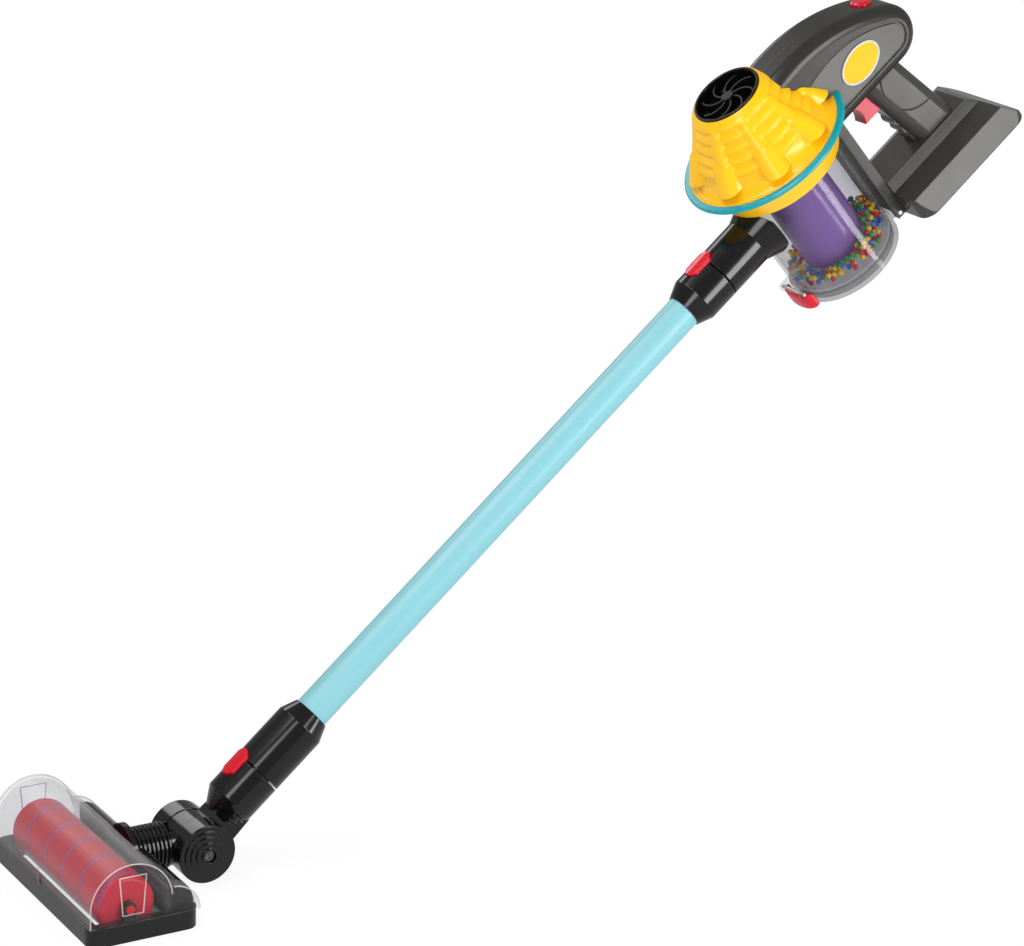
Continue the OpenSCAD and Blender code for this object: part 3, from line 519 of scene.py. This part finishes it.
def thin_ring():
    start = math.asin(ROOM_Y / RING_R)
    turns = [start + (2 * math.pi - 2 * start) * i / (RING_TURNS - 1) for i in range(RING_TURNS)]
    half = RING_H / 2
    bend = [math.pi * (i / RING_BENDS - 0.5) for i in range(RING_BENDS + 1)]
    profile = [(RING_INSIDE, RING_Z)]
    profile += [(RING_R - half + half * math.cos(b), RING_Z + half + half * math.sin(b)) for b in bend]
    profile += [(RING_INSIDE, RING_Z + RING_H)]
    points = [unit_turned(r, a, h) for r, h in profile for a in turns]
    rows = len(profile)
    first_end = tuple(i * RING_TURNS for i in range(rows))
    last_end = tuple((i + 1) * RING_TURNS - 1 for i in reversed(range(rows)))
    along = [face for face in grid_faces(rows, RING_TURNS) if abs(face[0] - face[1]) == 1]
    mesh = mesh_from("teal_ring", points, along + [first_end, last_end])
    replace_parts(new_piece("teal_ring", mesh, "hand_unit", teal), "brim_ring")


thin_ring()


# Latch pad that hugs the lid's ring and thins out at both ends

PAD_IN = 42.2
PAD_HALF = math.radians(20)
PAD_THICK = 6
PAD_END_THICK = 0.6
PAD_LOW = -0.4
PAD_END_LIFT = 1.6
PAD_TOP = 13.9
PAD_END_TOP = 9.3
PAD_ROWS = 49
PAD_AROUND = 28


def lingering(wave):
    """A share from 0 to 1 that follows a sine or cosine and lingers at both ends."""
    return 0.5 + 0.5 * math.copysign(math.sqrt(abs(wave)), wave)


def latch_pad():
    points = []
    for i in range(PAD_ROWS):
        share = 2 * i / (PAD_ROWS - 1) - 1
        full = math.sqrt(max(1 - share**4, 0))
        thick = PAD_END_THICK + (PAD_THICK - PAD_END_THICK) * full
        low = PAD_LOW + PAD_END_LIFT * (1 - full)
        high = PAD_END_TOP + (PAD_TOP - PAD_END_TOP) * full
        for b in full_turn(PAD_AROUND):
            r = PAD_IN + thick * lingering(math.cos(b))
            h = low + (high - low) * lingering(math.sin(b))
            points.append(unit_turned(r, math.pi + PAD_HALF * share, h))
    first_end = tuple(reversed(range(PAD_AROUND)))
    last_end = tuple((PAD_ROWS - 1) * PAD_AROUND + j for j in range(PAD_AROUND))
    mesh = mesh_from("latch_pad", points, grid_faces(PAD_ROWS, PAD_AROUND) + [first_end, last_end])
    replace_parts(new_piece("latch_pad", mesh, "bin_latch", red), "bin_latch")


latch_pad()


# Roller with round ends

ROLLER_R = 20
ROLLER_HALF = 69
ROLLER_ROUND = 4
ROLLER_BENDS = 8
ROLLER_TURNS = 128
PIN_R = 2.2


def roller_point(r, a, y):
    return Vector((ROLLER_X + r * math.sin(a), y, ROLLER_Z + r * math.cos(a))) * MM


def round_roller():
    bend = [math.pi / 2 * i / ROLLER_BENDS for i in range(ROLLER_BENDS + 1)]
    radii = [ROLLER_R - ROLLER_ROUND * (1 - math.sin(b)) for b in bend]
    places = [ROLLER_HALF - ROLLER_ROUND * (1 - math.cos(b)) for b in bend]
    cap = [(PIN_R, ROLLER_HALF)] + list(zip(radii, places))
    profile = [(r, -y) for r, y in cap] + cap[::-1]
    points = [roller_point(r, a, y) for r, y in profile for a in full_turn(ROLLER_TURNS)]
    mesh = mesh_from("round_roller", points, grid_faces(len(profile), ROLLER_TURNS))
    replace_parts(new_piece("round_roller", mesh, "roller", crimson), "roller")


round_roller()


# Wand tube in short rings, which shade evenly along its whole length

WAND_LOW = 68.2
WAND_TOP = 516.7
WAND_R = 12
WAND_BORE = 10.8
WAND_RINGS = 60
WAND_TURNS = 96
WAND_SHARP = math.radians(40)


def ringed_wand():
    lengths = [WAND_LOW + (WAND_TOP - WAND_LOW) * i / WAND_RINGS for i in range(WAND_RINGS + 1)]
    profile = [(WAND_R, x) for x in lengths] + [(WAND_BORE, x) for x in reversed(lengths)]
    turns = full_turn(WAND_TURNS)
    points = [wand_point(x, r * math.cos(a), r * math.sin(a)) for r, x in profile for a in turns]
    mesh = mesh_from("ringed_wand", points, grid_faces(len(profile), WAND_TURNS, joined=True))
    mesh.set_sharp_from_angle(angle=WAND_SHARP)
    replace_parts(new_piece("ringed_wand", mesh, "wand", cyan), "wand_tube")


ringed_wand()


# Painted highlights along the clear cover's edges: pale tubes on the arch, raised tab and rear corner at
# both ends

COVER_HALF = 78
BASE_H = 13
ARCH_FRONT = -38
ARCH_X = -9.5
ARCH_Z = 24.5
ARCH_R = 28.5
ARCH_FROM = 180
ARCH_TO = 5
ARCH_STEPS = 48
DECK_X = 19
DECK_R = 19
DECK_FROM = 88
DECK_TO = 0
DECK_STEPS = 24
TAB_X = -9
TAB_Z = 19
TAB_HALF = 7
TAB_TOP_Z = 45
TAB_TOP_HALF = 9.1
TAB_OUT = 1
EDGE_R = 0.45
EDGE_AROUND = 8


def arc_points(x, z, r, start, end, count):
    """Points of an arc in the side view, with its ends in degrees."""
    turns = [math.radians(start + (end - start) * i / count) for i in range(count + 1)]
    return [(x + r * math.cos(a), z + r * math.sin(a)) for a in turns]


def tab_outline():
    low = [(TAB_X - TAB_HALF, TAB_Z), (TAB_X + TAB_HALF, TAB_Z)]
    top_left = (TAB_X - TAB_TOP_HALF, TAB_TOP_Z)
    top_right = (TAB_X + TAB_TOP_HALF, TAB_TOP_Z)
    return [top_left] + low + [top_right, top_left]


def tube_along(path, y):
    """Points and faces of a thin tube that follows an (x, z) path at one y."""
    points = []
    for i, (x, z) in enumerate(path):
        ax, az = path[max(i - 1, 0)]
        bx, bz = path[min(i + 1, len(path) - 1)]
        size = math.hypot(bx - ax, bz - az)
        nx, nz = -(bz - az) / size, (bx - ax) / size
        for b in full_turn(EDGE_AROUND):
            out = EDGE_R * math.cos(b)
            points.append(Vector((x + nx * out, y + EDGE_R * math.sin(b), z + nz * out)) * MM)
    return points, grid_faces(len(path), EDGE_AROUND)


# Pale tubes that paint the highlights along the cover's edges
def cover_edges(name, side):
    end = COVER_HALF - EDGE_R
    arch = [(ARCH_FRONT + EDGE_R, BASE_H + EDGE_R)]
    arch += arc_points(ARCH_X, ARCH_Z, ARCH_R - EDGE_R, ARCH_FROM, ARCH_TO, ARCH_STEPS)
    rear = arc_points(DECK_X, BASE_H, DECK_R - EDGE_R, DECK_FROM, DECK_TO, DECK_STEPS)
    points, faces = [], []
    for path, reach in ((arch, end), (rear, end), (tab_outline(), end + TAB_OUT)):
        tube, skin = tube_along(path, side * reach)
        faces += [tuple(len(points) + k for k in face) for face in skin]
        points += tube
    new_piece(name, mesh_from(name, points, faces), "floor_head", edge_highlight)


cover_edges("cover_edges_left", -1)
cover_edges("cover_edges_right", 1)


# Beads: dropped one by one into the ring between core and bin, heaped towards the rear

BEAD_R = 1.95
BEAD_FLOOR = 12
BEAD_TRIES = 6000
BEAD_SEED = 11
BEAD_DIVISIONS = 2
BEADS_IN = 25.2
BEADS_OUT = 37.9
HEAP_AT = math.radians(-20)
HEAP_LOW = 6
HEAP_RISE = 9


def drop_beads(colours):
    """Places of the beads that come to rest within the heap, each with a colour's number."""
    rng = random.Random(BEAD_SEED)
    beads = []
    for _ in range(BEAD_TRIES):
        turn = rng.uniform(0, 2 * math.pi)
        reach = math.sqrt(rng.uniform((BEADS_IN + BEAD_R) ** 2, (BEADS_OUT - BEAD_R) ** 2))
        x, y = reach * math.cos(turn), reach * math.sin(turn)
        z = BEAD_FLOOR + BEAD_R
        for bx, by, bz, _ in beads:
            gap = (x - bx) ** 2 + (y - by) ** 2
            if gap < 4 * BEAD_R**2:
                z = max(z, bz + math.sqrt(4 * BEAD_R**2 - gap))
        lean = 0.5 + 0.5 * math.cos(turn - HEAP_AT)
        if z <= BEAD_FLOOR + HEAP_LOW + HEAP_RISE * lean**2:
            beads.append((x, y, z, rng.randrange(colours)))
    return beads


def bead_tree():
    """Geometry nodes: one sphere on every point."""
    tree = bpy.data.node_groups.new("bead_pile", "GeometryNodeTree")
    face = tree.interface
    face.new_socket("Geometry", in_out="INPUT", socket_type="NodeSocketGeometry")
    face.new_socket("Bead radius", in_out="INPUT", socket_type="NodeSocketFloat")
    face.new_socket("Finish", in_out="INPUT", socket_type="NodeSocketMaterial")
    face.new_socket("Geometry", in_out="OUTPUT", socket_type="NodeSocketGeometry")
    given = tree.nodes.new("NodeGroupInput")
    ball = tree.nodes.new("GeometryNodeMeshIcoSphere")
    scatter = tree.nodes.new("GeometryNodeInstanceOnPoints")
    real = tree.nodes.new("GeometryNodeRealizeInstances")
    smooth = tree.nodes.new("GeometryNodeSetShadeSmooth")
    paint = tree.nodes.new("GeometryNodeSetMaterial")
    result = tree.nodes.new("NodeGroupOutput")
    ball.inputs["Subdivisions"].default_value = BEAD_DIVISIONS
    link = tree.links.new
    link(given.outputs["Bead radius"], ball.inputs["Radius"])
    link(given.outputs["Geometry"], scatter.inputs["Points"])
    link(ball.outputs["Mesh"], scatter.inputs["Instance"])
    link(scatter.outputs[0], real.inputs[0])
    link(real.outputs[0], smooth.inputs[0])
    link(smooth.outputs[0], paint.inputs["Geometry"])
    link(given.outputs["Finish"], paint.inputs["Material"])
    link(paint.outputs[0], result.inputs[0])
    return tree


def from_nodes(name, points, tree, values):
    """The mesh that a node tree makes from bare points."""
    seed = bpy.data.objects.new(name, mesh_from(name + "_points", points, []))
    bpy.context.collection.objects.link(seed)
    modifier = seed.modifiers.new("nodes", "NODES")
    modifier.node_group = tree
    for item in tree.interface.items_tree:
        if item.in_out == "INPUT" and item.name in values:
            modifier[item.identifier] = values[item.name]
    graph = bpy.context.evaluated_depsgraph_get()
    mesh = bpy.data.meshes.new_from_object(seed.evaluated_get(graph))
    bpy.data.objects.remove(seed)
    mesh.name = name
    return mesh


def bead_piles():
    piles = [
        ("red", bead_red, "red_gloss"),
        ("yellow", bead_yellow, "yellow_gloss"),
        ("green", bead_green, "bead_green"),
        ("blue", bead_blue, "bead_blue"),
    ]
    tree = bead_tree()
    beads = drop_beads(len(piles))
    for index, (colour, finish, slot) in enumerate(piles):
        name = "bead_pile_" + colour
        points = [unit_point(x, y, z) for x, y, z, pick in beads if pick == index]
        mesh = from_nodes(name, points, tree, {"Bead radius": BEAD_R * MM, "Finish": finish})
        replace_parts(new_piece(name, mesh, "hand_unit", finish), "beads_" + colour)


bead_piles()


# Pale rims round the bare badges

BADGE_X = 82.5
BADGE_Z = 117
BADGE_LONG = 35
BADGE_WIDE = 24
BADGE_TURN = math.radians(5)
BODY_HALF = 21
RIM_INSET = 0.6
RIM_HALF = 0.75
RIM_LIFT = 0.55
RIM_RISE = 0.6
RIM_TURNS = 96
RIM_AROUND = 10


def badge_rim(name, side):
    c, s = math.cos(BADGE_TURN), math.sin(BADGE_TURN)
    points = []
    for a in full_turn(RIM_TURNS):
        nx, nz = math.cos(a) / BADGE_LONG, math.sin(a) / BADGE_WIDE
        size = math.hypot(nx, nz)
        for b in full_turn(RIM_AROUND):
            out = RIM_HALF * math.cos(b) - RIM_INSET
            x = BADGE_LONG / 2 * math.cos(a) + nx / size * out
            z = BADGE_WIDE / 2 * math.sin(a) + nz / size * out
            y = side * (BODY_HALF + RIM_LIFT + RIM_RISE * math.sin(b))
            points.append(unit_point(BADGE_X + c * x - s * z, y, BADGE_Z + s * x + c * z))
    faces = grid_faces(RIM_TURNS, RIM_AROUND, joined=True)
    if side > 0:
        faces = [face[::-1] for face in faces]
    new_piece(name, mesh_from(name, points, faces), "hand_unit", pale)


badge_rim("badge_rim_left", -1)
badge_rim("badge_rim_right", 1)


# Camera, fitted to the photo

TARGET = Vector((0.25, 0, 0.22))
AZIMUTH = math.radians(-31.1)
ELEVATION = math.radians(18.44)
ROLL = math.radians(1.98)
DISTANCE = 2.31
PAN_RIGHT = 0.0467
PAN_UP = 0.0278
FOCUS_PX = 3495
PHOTO_W_PX = 1024
SENSOR_MM = 36


def studio_camera():
    level = math.cos(ELEVATION)
    back = Vector((math.sin(AZIMUTH) * level, -math.cos(AZIMUTH) * level, math.sin(ELEVATION)))
    level_right = Vector((math.cos(AZIMUTH), math.sin(AZIMUTH), 0))
    level_up = back.cross(level_right)
    right = math.cos(ROLL) * level_right + math.sin(ROLL) * level_up
    up = math.cos(ROLL) * level_up - math.sin(ROLL) * level_right
    data = bpy.data.cameras.new("camera")
    data.sensor_width = SENSOR_MM
    data.sensor_fit = "HORIZONTAL"
    data.lens = FOCUS_PX / PHOTO_W_PX * SENSOR_MM
    camera = bpy.data.objects.new("camera", data)
    spot = TARGET + PAN_RIGHT * right + PAN_UP * up + DISTANCE * back
    camera.matrix_world = Matrix.Translation(spot) @ Matrix((right, up, back)).transposed().to_4x4()
    bpy.context.collection.objects.link(camera)
    bpy.context.scene.camera = camera


studio_camera()
bpy.context.scene.view_settings.view_transform = "Standard"


# White floor: a glow to the camera and in reflections, with a faint shadow near the toy, and else matt

FLOOR_HALF = 12
FLOOR_BELOW = 0.0002
FLOOR_MATT = (0.86, 0.86, 0.86, 1)
FLOOR_SEEN = 1.04
FLOOR_MIRRORED = 0.6
SHADOW_MIDDLE = (0.1, 0, 0)
SHADOW_START = 0.2
SHADOW_END = 0.7
GLOW_NEAR = 0.86


def floor_white():
    graph = Graph("floor_white")
    rays = graph.node("ShaderNodeLightPath").outputs
    mirrored = rays["Is Glossy Ray"]
    away = graph.vectors("DISTANCE", graph.place(), SHADOW_MIDDLE)["Value"]
    glow_share = graph.ramp(away, SHADOW_START, SHADOW_END, GLOW_NEAR, 1)
    shown = graph.maths("MULTIPLY", rays["Is Camera Ray"], glow_share)
    share = graph.maths("MAXIMUM", shown, mirrored)
    bright = graph.maths("MULTIPLY_ADD", mirrored, FLOOR_MIRRORED - FLOOR_SEEN, FLOOR_SEEN)
    matt = graph.node("ShaderNodeBsdfDiffuse", {"Color": FLOOR_MATT})
    glow = graph.node("ShaderNodeEmission", {"Color": (1, 1, 1, 1), "Strength": bright})
    material = graph.output(graph.mixed(share, matt, glow))
    material.cycles.emission_sampling = "NONE"
    return material


def studio_floor():
    corners = [(-1, -1), (1, -1), (1, 1), (-1, 1)]
    mesh = bpy.data.meshes.new("floor")
    mesh.from_pydata([(FLOOR_HALF * x, FLOOR_HALF * y, 0) for x, y in corners], [], [(0, 1, 2, 3)])
    mesh.materials.append(floor_white())
    floor = bpy.data.objects.new("floor", mesh)
    bpy.context.collection.objects.link(floor)
    floor.location.z = -FLOOR_BELOW


studio_floor()


# Lamps: name, place, what it faces, width and height, watts

MIDDLE = (0.25, 0, 0.25)
BIN = (0.55, 0, 0.36)
LAMPS = [
    ("key", (-1.2, -1.3, 1.0), MIDDLE, (0.7, 1.2), 13),
    ("front", (1.0, -1.7, 0.75), MIDDLE, (0.6, 1.3), 21),
    ("strip", (1.62, -1.22, 0.24), BIN, (0.26, 0.44), 3.2),
    ("top", (-0.7, 0.15, 1.8), MIDDLE, (1.6, 0.5), 16),
    ("rear", (0.2, 1.6, 1.2), MIDDLE, (1.2, 0.5), 5),
]


def softbox(name, spot, aim, size, power):
    data = bpy.data.lights.new(name, "AREA")
    data.shape = "RECTANGLE"
    data.size, data.size_y = size
    data.energy = power
    lamp = bpy.data.objects.new(name, data)
    facing = (Vector(aim) - Vector(spot)).to_track_quat("-Z", "Y").to_matrix().to_4x4()
    lamp.matrix_world = Matrix.Translation(spot) @ facing
    bpy.context.collection.objects.link(lamp)


for lamp in LAMPS:
    softbox(*lamp)


# World: white for the camera, and a soft fill for everything else

WORLD_SEEN = 1.0
WORLD_FILL = 0.3


def studio_world():
    world = bpy.data.worlds.new("studio")
    world.use_nodes = True
    tree = world.node_tree
    sky = tree.nodes["Background"]
    sky.inputs["Color"].default_value = (1, 1, 1, 1)
    rays = tree.nodes.new("ShaderNodeLightPath")
    strength = tree.nodes.new("ShaderNodeMath")
    strength.operation = "MULTIPLY_ADD"
    strength.inputs[1].default_value = WORLD_SEEN - WORLD_FILL
    strength.inputs[2].default_value = WORLD_FILL
    tree.links.new(rays.outputs["Is Camera Ray"], strength.inputs[0])
    tree.links.new(strength.outputs[0], sky.inputs["Strength"])
    bpy.context.scene.world = world


studio_world()
